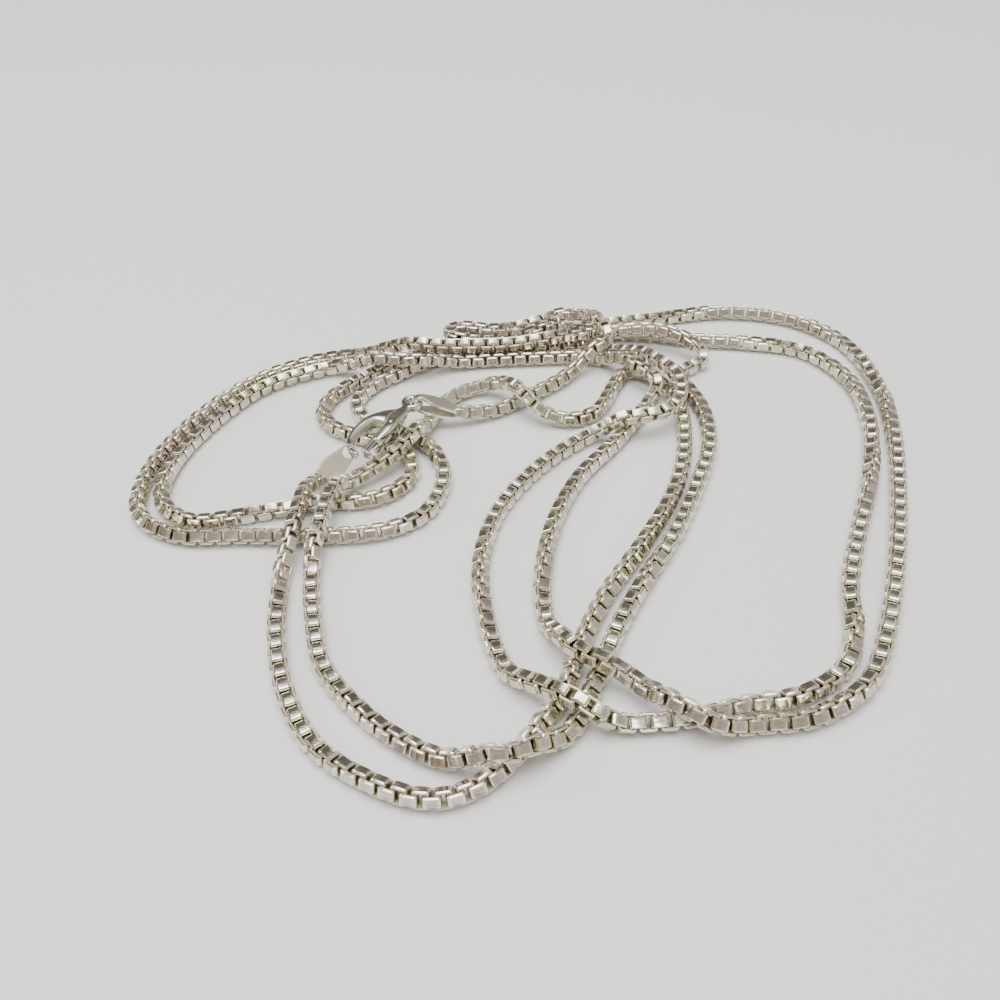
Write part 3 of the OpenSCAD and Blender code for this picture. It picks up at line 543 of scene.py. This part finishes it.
class NECKLACE_OT_chain(bpy.types.Operator):
    """String the links of both halves of the chain"""
    bl_idname = "necklace.chain"
    bl_label = "Chain"

    def execute(self, context):
        sizes = context.scene.chain_sizes
        link = one_link(sizes)
        tree = chain_tree()
        finish = silver("chain silver")
        for side, first, last in (("hook_side", -1, HALFWAY), ("eye_side", HALFWAY, len(ROUTE))):
            piece = strung("links_" + side, tree, {
                "Link": link, "Pitch": sizes.pitch, "Wobble": sizes.wobble, "First row": float(first),
                "Last row": float(last), "Seed": SEED, "Finish": finish})
            if len(piece.data.polygons) == 0:
                raise RuntimeError("no links were strung on the " + side)
            declare(piece, NECKLACE, "chain_silver", "chain_" + side)
        bpy.data.objects.remove(link)
        return {"FINISHED"}


def smooth_rows(rows, steps=6):
    """Rows of a smooth curve through rows of numbers."""
    rows = [Vector(row) for row in rows]
    curve = []
    for i in range(len(rows) - 1):
        a, b, c, d = rows[max(i - 1, 0)], rows[i], rows[i + 1], rows[min(i + 2, len(rows) - 1)]
        for k in range(steps):
            t = k / steps
            curve.append(0.5 * (2 * b + (c - a) * t + (2 * a - 5 * b + 4 * c - d) * t ** 2
                                + (3 * b - a - 3 * c + d) * t ** 3))
    return curve + [rows[-1]]


def clasp_place():
    """Place of the clasp's own frame, in millimetres."""
    at = Matrix.Translation((EYE_AT[0] - MIDDLE[0], EYE_AT[1] - MIDDLE[1], EYE_AT[2]))
    return at @ Matrix.Rotation(math.radians(CLASP_TURN), 4, "Z")


def read_off(rows, at):
    """Value at a place along rows of (place, value)."""
    for (a, low), (b, high) in zip(rows, rows[1:]):
        if at <= b:
            return low + (high - low) * max(0.0, at - a) / (b - a)
    return rows[-1][1]


def half_thickness(along, sizes):
    """Half of the clasp's thickness at a share of its reach."""
    share = min(1.0, max(0.0, read_off(smooth_rows(BULGE), along)))
    return (sizes.thin + share * (sizes.thick - sizes.thin)) / 2


def around(count):
    """Angles of a full turn, in this many steps."""
    return [2 * math.pi * k / count for k in range(count)]


def end_turns(i, last, turns):
    """Angles of a bar's rings at one of its rows: one, or at its two ends several, which round it off."""
    if i == 0:
        return [-math.radians(turn) for turn in reversed(turns)] + [0.0]
    return [0.0] + ([math.radians(turn) for turn in turns] if i == last else [])


def section(half_w, half_h, fullness, count=28):
    """Outline of a rounded section."""
    points = []
    for turn in around(count):
        c, s = math.cos(turn), math.sin(turn)
        points.append((half_w * math.copysign(abs(c) ** (2 / fullness), c),
                       half_h * math.copysign(abs(s) ** (2 / fullness), s)))
    return points


def loft(build, rings, closed=False):
    """Skin over rings of points, capped at both ends unless it is closed."""
    rows = [[build.verts.new(point) for point in ring] for ring in rings]
    pairs = list(zip(rows, rows[1:])) + ([(rows[-1], rows[0])] if closed else [])
    for row, after in pairs:
        for k in range(len(row)):
            j = (k + 1) % len(row)
            build.faces.new((row[k], row[j], after[j], after[k]))
    if not closed:
        build.faces.new(rows[0][::-1])
        build.faces.new(rows[-1])


def horn(build, rows, sizes, fullness, bulge=1.0):
    """Bar of rounded section along rows of (along, across, half width), with round ends."""
    rows = smooth_rows(rows)
    rings = []
    last = len(rows) - 1
    for i, (x, y, half_w) in enumerate(rows):
        step = rows[min(i + 1, last)] - rows[max(i - 1, 0)]
        along = Vector((step.x, step.y, 0)).normalized()
        side = Vector((-along.y, along.x, 0))
        centre = Vector((x, y, 0)) * sizes.reach
        half_h = sizes.thin / 2 + (half_thickness(x, sizes) - sizes.thin / 2) * bulge
        wide = half_w * sizes.reach
        for turn in end_turns(i, last, (35, 60, 80)):
            at = centre + along * wide * 0.9 * math.sin(turn)
            rings.append([at + side * u * math.cos(turn) + Vector((0, 0, v * math.cos(turn)))
                          for u, v in section(wide, half_h, fullness)])
    loft(build, rings)


def circle(radius, height, count, centre=(0, 0, 0)):
    """Points of a level circle."""
    return [Vector(centre) + Vector((radius * math.cos(turn), radius * math.sin(turn), height))
            for turn in around(count)]


def disc(build, centre, radius, half_h, rim, count=40):
    """Round plate with a rounded rim."""
    loft(build, [circle(radius - inset, height, count, centre) for height, inset in (
        (-half_h, rim), (-half_h + rim * 0.3, rim * 0.3), (-half_h + rim, 0),
        (half_h - rim, 0), (half_h - rim * 0.3, rim * 0.3), (half_h, rim))])


def ridge(build, points, radius):
    """Thin round bead through points."""
    points = smooth_rows(points, 4)
    rings = []
    last = len(points) - 1
    for i, point in enumerate(points):
        along = (points[min(i + 1, last)] - points[max(i - 1, 0)]).normalized()
        side = along.cross(Vector((0, 0, 1))).normalized()
        lift = side.cross(along)
        for turn in end_turns(i, last, (45, 75)):
            at = point + along * radius * math.sin(turn)
            rings.append([at + (side * u + lift * v) * math.cos(turn)
                          for u, v in section(radius, radius, 2, 12)])
    loft(build, rings)


def plate(build, outline, low, high):
    """Flat plate of this plan outline."""
    loft(build, [[Vector((x, y, z)) for x, y in outline] for z in (low, high)])


def drawn(name, build):
    """An object of what was drawn, in its own millimetres."""
    mesh = bpy.data.meshes.new(name)
    bmesh.ops.recalc_face_normals(build, faces=build.faces)
    build.to_mesh(mesh)
    build.free()
    return new_object(name, mesh)


def work(piece, name, kind, **settings):
    """Add a modifier with these settings to the piece."""
    step = piece.modifiers.new(name, kind)
    for key, value in settings.items():
        setattr(step, key, value)


def fuse(piece, cell):
    """Join the piece's overlapping shells under one skin."""
    work(piece, "Skin", "REMESH", mode="VOXEL", voxel_size=cell, use_smooth_shade=True)


def polish(piece, passes):
    """Round the edges off, as tumbling does."""
    work(piece, "Polish", "SMOOTH", factor=0.5, iterations=passes)


def settle(piece, place, finish, **shares):
    """Make the piece a plain mesh at its place in the frame, smooth and in its finish.

    Each of the shares is an attribute of the finish, worked out from a point and its normal."""
    mesh = bpy.data.meshes.new_from_object(piece.evaluated_get(bpy.context.evaluated_depsgraph_get()))
    piece.modifiers.clear()
    piece.data = mesh
    for name, share in shares.items():
        layer = mesh.attributes.new(name, "FLOAT", "POINT")
        layer.data.foreach_set("value", [share(vert.co, vert.normal) for vert in mesh.vertices])
    mesh.transform(Matrix.Scale(MM, 4) @ place)
    mesh.materials.clear()
    mesh.materials.append(finish)
    mesh.shade_smooth()
    return piece


def declare(piece, body, slot, *nodes):
    """Hide the frame's nodes that the piece stands for, and hang the piece on the body that it rides on; the
    finish slot is not used.
    """
    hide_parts(*nodes)
    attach(piece, body)


def hinge_at(sizes):
    """Middle of the hinge, in the clasp's own frame."""
    return Vector((ROOT[-1][0], ROOT[-1][1], 0)) * sizes.reach


class NECKLACE_OT_clasp_body(bpy.types.Operator):
    """Cast the clasp's body: eye, neck, hook and the cheeks of the hinge"""
    bl_idname = "necklace.clasp_body"
    bl_label = "Clasp body"

    def execute(self, context):
        sizes = context.scene.clasp_sizes
        build = bmesh.new()
        horn(build, HOOK, sizes, 2.5, 0.45)
        horn(build, ROOT, sizes, 3.2)
        horn(build, CHEEK, sizes, 4.0)
        middle, half_w = (sizes.eye_d + sizes.eye_hole_d) / 4, (sizes.eye_d - sizes.eye_hole_d) / 4
        # The eye, a closed ring
        loft(build, [[Vector((math.cos(t) * (middle + u), math.sin(t) * (middle + u), v))
                      for u, v in section(half_w, sizes.thin / 2, 2.6)]
                     for t in around(48)], closed=True)
        piece = drawn("clasp_casting", build)

        tool = bmesh.new()
        hinge, radius = hinge_at(sizes), sizes.lever_w / 2 + sizes.slot_gap
        half_h = sizes.lever_t / 2 + sizes.slot_gap
        disc(tool, hinge, radius, half_h, 0.02)
        slot_l, slot_w = 2.2, 1.5
        plate(tool, [(hinge.x + x, hinge.y + y)
                     for x, y in ((0, -slot_w), (slot_l, -slot_w), (slot_l, slot_w), (0, slot_w))],
              -half_h, half_h)
        tool = drawn("slot", tool)
        fuse(piece, SKIN)
        fuse(tool, FINE_SKIN)
        work(piece, "Cut", "BOOLEAN", operation="DIFFERENCE", object=tool, solver="EXACT")
        fuse(piece, SKIN)
        polish(piece, 5)
        # Painted shade, in the tarnish colour, lies inside the hook, round its mouth and past the neck
        mouth, mouth_r, neck_end = Vector((6.3, -0.9, 0)), 3.4, 2.6

        def hollow(spot, normal):
            if spot.x <= neck_end:
                return 0.0
            near = 1 - min(1.0, (spot - mouth).length / mouth_r)
            return max(0.0, (mouth - spot).normalized().dot(normal)) * (0.35 + 0.5 * near)

        # The clasp's share of tarnish is painted shade
        settle(piece, clasp_place(), silver("clasp silver", wear=0.6, cast=True), hollow=hollow)
        bpy.data.objects.remove(tool)
        declare(piece, NECKLACE, "clasp_silver", "clasp_body")
        return {"FINISHED"}


class NECKLACE_OT_lever(bpy.types.Operator):
    """Cast the spring lever, with the ribs of its thumb tab"""
    bl_idname = "necklace.lever"
    bl_label = "Lever"

    def execute(self, context):
        sizes = context.scene.clasp_sizes
        inner, half_h, end = -sizes.lever_w / 2, sizes.lever_t / 2, sizes.lever_l
        build = bmesh.new()
        disc(build, (0, 0, 0), sizes.lever_w / 2, half_h, 0.08)
        edge = smooth_rows([(0, inner)] + [(end * share, y) for share, y in LEVER_EDGE], 4)
        plate(build, edge + [(end, 0.5), (end * 0.5, 0.66), (0, -inner)], -half_h, half_h)
        tab = smooth_rows([(end + x, y) for x, y in TAB], 4)
        plate(build, tab, -half_h * 0.85, half_h * 0.55)
        # Beads along the edge, then the ribs and the crescents of the tab
        for y, z in ((0.12, half_h * 0.9), (0.5, half_h * 0.85)):
            ridge(build, [Vector((x + 0.06 * y, edge_y + y, z)) for x, edge_y in edge[2:]], 0.15)
        for k in range(4):
            x = end - 1.1 + 0.28 * k
            ridge(build, ((x, 0.25, half_h * 0.85), (x - 0.06, 0.62, half_h * 0.75)), 0.09)
        for y, z in ((0.8, half_h * 0.62), (1.12, half_h * 0.3)):
            ridge(build, ((end - 1.1, y - 0.12, z), (end - 0.6, y + 0.06, z), (end - 0.15, y - 0.12, z)),
                  0.12)
        piece = drawn("spring_lever", build)
        fuse(piece, FINE_SKIN)
        polish(piece, 4)
        place = clasp_place() @ Matrix.Translation(hinge_at(sizes))
        settle(piece, place, silver("lever silver", wear=0.6, cast=True))
        declare(piece, LEVER, "clasp_silver", "lever")
        return {"FINISHED"}


class NECKLACE_OT_hinge_pin(bpy.types.Operator):
    """Turn the hinge pin, with its low domed ends"""
    bl_idname = "necklace.hinge_pin"
    bl_label = "Hinge pin"

    def execute(self, context):
        sizes = context.scene.clasp_sizes
        build = bmesh.new()
        radius, half_h, dome, proud = sizes.pin_d / 2, sizes.thick / 2, 0.08, 0.02
        rings = []
        for side in (-1, 1):
            for share in ((0.15, 0.6, 0.9, 1.0) if side < 0 else (1.0, 0.9, 0.6, 0.15)):
                rings.append(circle(radius * share, side * (half_h - dome * share ** 2 + proud), 32))
        loft(build, rings)
        piece = drawn("rivet", build)
        place = clasp_place() @ Matrix.Translation(hinge_at(sizes))
        settle(piece, place, silver("pin silver", wear=0.6, cast=True))
        declare(piece, NECKLACE, "clasp_silver", "hinge_pin")
        return {"FINISHED"}


def sheet(name, stations, thickness, place, finish):
    """Piece of sheet metal: stations of (point, half width, half hole) along its middle line."""
    build = bmesh.new()
    columns = 5
    rows = []
    for point, half_w, half_hole in stations:
        row = []
        for side in (-1, 1):
            for k in range(columns + 1):
                share = k / columns if side > 0 else 1 - k / columns
                across = side * (half_hole + (half_w - half_hole) * share)
                row.append(build.verts.new((point[0], across, point[1])))
        rows.append(row)
    for row, after in zip(rows, rows[1:]):
        for k in range(2 * columns + 1):
            if k != columns:
                build.faces.new((row[k], after[k], after[k + 1], row[k + 1]))
    bmesh.ops.remove_doubles(build, verts=build.verts, dist=0.001)
    piece = drawn(name, build)
    work(piece, "Wall", "SOLIDIFY", thickness=thickness, offset=0.0)
    work(piece, "Edge", "BEVEL", width=thickness * 0.28, segments=3, limit_method="ANGLE",
         angle_limit=math.radians(50))
    flat_to = max(point[0] for point, half_w, half_hole in stations) / 2

    def brushed(spot, normal):
        edge_on = math.hypot(normal.x, normal.y) if spot.x < flat_to else abs(normal.y)
        return 1.0 - min(1.0, 1.3 * edge_on)

    return settle(piece, place, finish, brushed=brushed)


def along_frame(start, run, roll=0.0):
    """Frame with its x axis along a run and its y axis level, rolled about x."""
    turn = Matrix.Rotation(math.atan2(run.y, run.x), 4, "Z")
    dip = Matrix.Rotation(math.atan2(-run.z, math.hypot(run.x, run.y)), 4, "Y")
    return Matrix.Translation(start) @ turn @ dip @ Matrix.Rotation(roll, 4, "X")


def chain_end(row):
    """Point of the route at its first or last row, in millimetres."""
    x, y, layer = ROUTE[row]
    return Vector((x - MIDDLE[0], y - MIDDLE[1], STRAND_Z + LAYER_Z * layer))


class NECKLACE_OT_hook_tag(bpy.types.Operator):
    """Fold the leaf that hangs on the hook"""
    bl_idname = "necklace.hook_tag"
    bl_label = "Hook tag"

    def execute(self, context):
        sizes, reach = context.scene.tag_sizes, context.scene.clasp_sizes.reach
        start = clasp_place() @ (Vector(HANG_AT) * reach)
        run = chain_end(0) - start
        hole, tip = sizes.leaf_hole_d / 2, sizes.leaf_hole_d / 2 + sizes.leaf_rim
        bend = sizes.leaf_fold_r + sizes.sheet_t / 2
        flat = run.length - END_GAP - sizes.leaf_fold_r - sizes.sheet_t
        # Half widths of the leaf, as shares of its width, along its flat length
        tip_w, fold_w = 0.28, sizes.leaf_fold_w / 2 / sizes.leaf_w
        plan = smooth_rows(((0.0, tip_w), (0.3, 0.37), (0.65, 0.42), (1.0, fold_w)), 8)

        def half_w(x):
            if x < 0:
                return tip_w * sizes.leaf_w * math.sqrt(max(0.0, 1 - (x / tip) ** 2)) + 0.02
            return sizes.leaf_w * read_off(plan, x / flat)

        # The flat leaf as (along, half hole), then its fold and its flap
        leaf = [(-tip + sizes.leaf_rim * k / 9, 0.0) for k in range(9)]
        leaf += [(-hole * math.cos(math.pi * k / 24), hole * math.sin(math.pi * k / 24)) for k in range(25)]
        leaf += [(hole + (flat - hole) * k / 12, 0.0) for k in range(1, 13)]
        stations = [((x, 0), half_w(x), half_hole) for x, half_hole in leaf]
        turn = math.pi - sizes.flap_open
        for k in range(1, 13):
            t = turn * k / 12
            stations.append(((flat + bend * math.sin(t), bend * math.cos(t) - bend), half_w(flat), 0.0))
        corner = Vector(stations[-1][0])
        for k in range(1, 9):
            way = sizes.flap_l * k / 8
            point = corner + way * Vector((math.cos(turn), -math.sin(turn)))
            stations.append(((point.x, point.y), half_w(point.x) * (1.0 if k < 8 else 0.93), 0.0))
        piece = sheet("hook_leaf", stations, sizes.sheet_t, along_frame(start, run, sizes.leaf_roll),
                      silver("leaf silver", 0.2, 0.7))
        declare(piece, NECKLACE, "tag_silver", "hook_tag")
        return {"FINISHED"}


class NECKLACE_OT_eye_tag(bpy.types.Operator):
    """Fold the strip through the clasp's eye"""
    bl_idname = "necklace.eye_tag"
    bl_label = "Eye tag"

    def execute(self, context):
        sizes, clasp = context.scene.tag_sizes, context.scene.clasp_sizes
        end = chain_end(-1)
        eye = clasp_place().to_translation()
        level = Vector((end.x - eye.x, end.y - eye.y, 0)).normalized()
        start = eye + level * (clasp.eye_d + clasp.eye_hole_d) / 4
        run = end - start
        half_t = sizes.sheet_t / 2
        far = run.length - END_GAP - sizes.strip_end_r - sizes.sheet_t
        big, small = sizes.strip_bend_r + half_t, sizes.strip_end_r + half_t
        lean = math.acos((big - small) / far)
        loop = [(big * math.cos(t), big * math.sin(t))
                for t in (lean + (2 * math.pi - 2 * lean) * k / 20 for k in range(21))]
        tail = [(far + small * math.cos(t), small * math.sin(t))
                for t in (-lean + 2 * lean * k / 14 for k in range(15))]

        def between(a, b):
            return [(a[0] + (b[0] - a[0]) * k / 10, a[1] + (b[1] - a[1]) * k / 10) for k in range(1, 10)]

        line = loop + between(loop[-1], tail[0]) + tail + between(tail[-1], loop[0]) + [loop[0]]
        # Half widths of the strip, as shares of its width, from the eye to the chain
        waist = sizes.strip_waist_w / sizes.strip_w / 2
        plan = smooth_rows(((-0.35, waist), (-0.05, waist), (0.35, 0.5), (0.7, 0.5), (1.0, 0.45),
                            (1.3, 0.45)))
        stations = [(point, sizes.strip_w * read_off(plan, point[0] / far), 0.0) for point in line]
        piece = sheet("eye_strip", stations, sizes.sheet_t, along_frame(start, run),
                      silver("strip silver", 0.25, 0.5))
        declare(piece, NECKLACE, "tag_silver", "eye_tag")
        return {"FINISHED"}


class NECKLACE_OT_stage(bpy.types.Operator):
    """Set the surface, the light and the camera"""
    bl_idname = "necklace.stage"
    bl_label = "Stage"

    def execute(self, context):
        look = context.scene.stage_look
        build = bmesh.new()
        bmesh.ops.create_grid(build, x_segments=1, y_segments=1, size=SURFACE)
        mesh = bpy.data.meshes.new("floor")
        build.to_mesh(mesh)
        build.free()
        floor = new_object("floor", mesh)
        pale = bpy.data.materials.new("pale surface")
        tree = emptied(pale)
        place = node(tree, "ShaderNodeTexCoord").outputs["Object"]
        bump = node(tree, "ShaderNodeBump", {"Strength": 0.15, "Distance": 0.0001,
                                             "Height": noise(tree, place, 900.0, 5.0)})
        shader = node(tree, "ShaderNodeBsdfPrincipled", {"Base Color": (*look.floor, 1.0), "Roughness": 0.75,
                                                         "Normal": bump.outputs[0]})
        node(tree, "ShaderNodeOutputMaterial", {"Surface": shader.outputs[0]})
        mesh.materials.append(pale)

        world = bpy.data.worlds.new("studio")
        context.scene.world = world
        tree = emptied(world)
        way = node(tree, "ShaderNodeTexCoord").outputs["Generated"]
        way = node(tree, "ShaderNodeSeparateXYZ", {0: way}).outputs
        wall = mixed(tree, ranged(tree, way[2], 0.0, 0.6), BACK_LOW, BACK_HIGH)
        wall = mixed(tree, ranged(tree, way[1], -0.7, 0.2, 1.0, 0.0), wall, FRONT)
        wall = mixed(tree, ranged(tree, way[0], 0.35, 0.95), wall, RIGHT)
        room = mixed(tree, ranged(tree, way[2], 0.68, 0.95), wall, CEILING)
        light = node(tree, "ShaderNodeBackground", {"Color": room, "Strength": 1.0})
        node(tree, "ShaderNodeOutputWorld", {"Surface": light.outputs[0]})

        for name, at, size, power in LAMPS:
            lamp = bpy.data.lights.new(name, "AREA")
            lamp.size = size
            lamp.energy = power
            holder = new_object(name, lamp)
            holder.location = at
            holder.rotation_euler = (-Vector(at)).to_track_quat("-Z", "Y").to_euler()

        view = bpy.data.cameras.new("camera")
        view.sensor_width = 36.0
        view.lens = look.lens
        view.clip_start = 0.001
        camera = new_object("camera", view)
        tilt = Matrix.Rotation(math.pi / 2 - look.pitch, 4, "X") @ Matrix.Rotation(look.roll, 4, "Z")
        camera.matrix_world = Matrix.Translation(CAMERA_AT) @ tilt
        context.scene.camera = camera
        return {"FINISHED"}


class NECKLACE_PT_parts(bpy.types.Panel):
    """Pieces of the necklace"""
    bl_label = "Necklace"
    bl_idname = "NECKLACE_PT_parts"
    bl_space_type = "VIEW_3D"
    bl_region_type = "UI"
    bl_category = "Necklace"

    def draw(self, context):
        for group in GROUPS:
            settings = getattr(context.scene, group)
            for name in settings.__annotations__:
                self.layout.prop(settings, name)
        for piece in PIECES:
            self.layout.operator(piece.bl_idname)


GROUPS = {"chain_sizes": ChainSizes, "clasp_sizes": ClaspSizes, "tag_sizes": TagSizes,
          "silver_finish": SilverFinish, "stage_look": StageLook}
PIECES = (NECKLACE_OT_stage, NECKLACE_OT_chain, NECKLACE_OT_clasp_body, NECKLACE_OT_lever,
          NECKLACE_OT_hinge_pin, NECKLACE_OT_hook_tag, NECKLACE_OT_eye_tag)


def register():
    """Register the classes and the groups of sizes."""
    for made in (*GROUPS.values(), *PIECES, NECKLACE_PT_parts):
        bpy.utils.register_class(made)
    for name, group in GROUPS.items():
        setattr(bpy.types.Scene, name, bpy.props.PointerProperty(type=group))


def unregister():
    """Undo what register did."""
    for name in GROUPS:
        delattr(bpy.types.Scene, name)
    for made in (NECKLACE_PT_parts, *reversed(PIECES), *reversed(tuple(GROUPS.values()))):
        bpy.utils.unregister_class(made)


def main():
    """Make every piece."""
    register()
    bpy.ops.necklace.stage()
    bpy.ops.necklace.chain()
    bpy.ops.necklace.clasp_body()
    bpy.ops.necklace.lever()
    bpy.ops.necklace.hinge_pin()
    bpy.ops.necklace.hook_tag()
    bpy.ops.necklace.eye_tag()


if __name__ == "__main__":
    main()
